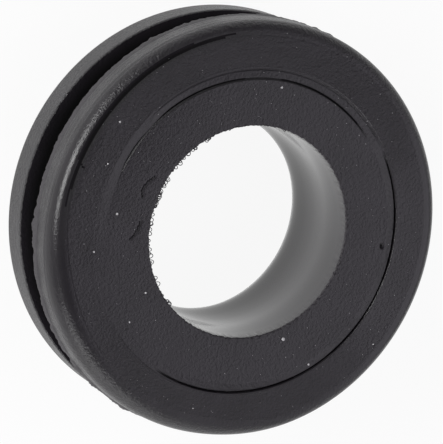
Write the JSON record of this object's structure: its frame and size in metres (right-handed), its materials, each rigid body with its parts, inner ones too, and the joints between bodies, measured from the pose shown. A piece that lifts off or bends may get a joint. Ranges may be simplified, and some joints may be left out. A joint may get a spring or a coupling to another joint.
{
  "type": "rubber grommet",
  "caption": "Round open rubber grommet: a short ring with a straight bore and an outer groove between two flanges, which grips the edge of a hole in a thin panel.",
  "frame": {"origin": "on the bore's axis at the back face, which is the face the grommet lies on", "axes": "+Z along the bore's axis towards the front face, the one with the smooth land and the fine channel around it; the ring is round about Z, so X and Y are any two directions at right angles"},
  "size_m": [0.0158, 0.0158, 0.0045],
  "materials": {
    "black_rubber": "black moulded rubber: fine leathery grain on the front flange's outer band and on the rims, smoother land around the bore, glossy bore wall"
  },
  "bodies": {
    "root": {"grommet": "black_rubber"}
  },
  "joints": []
}
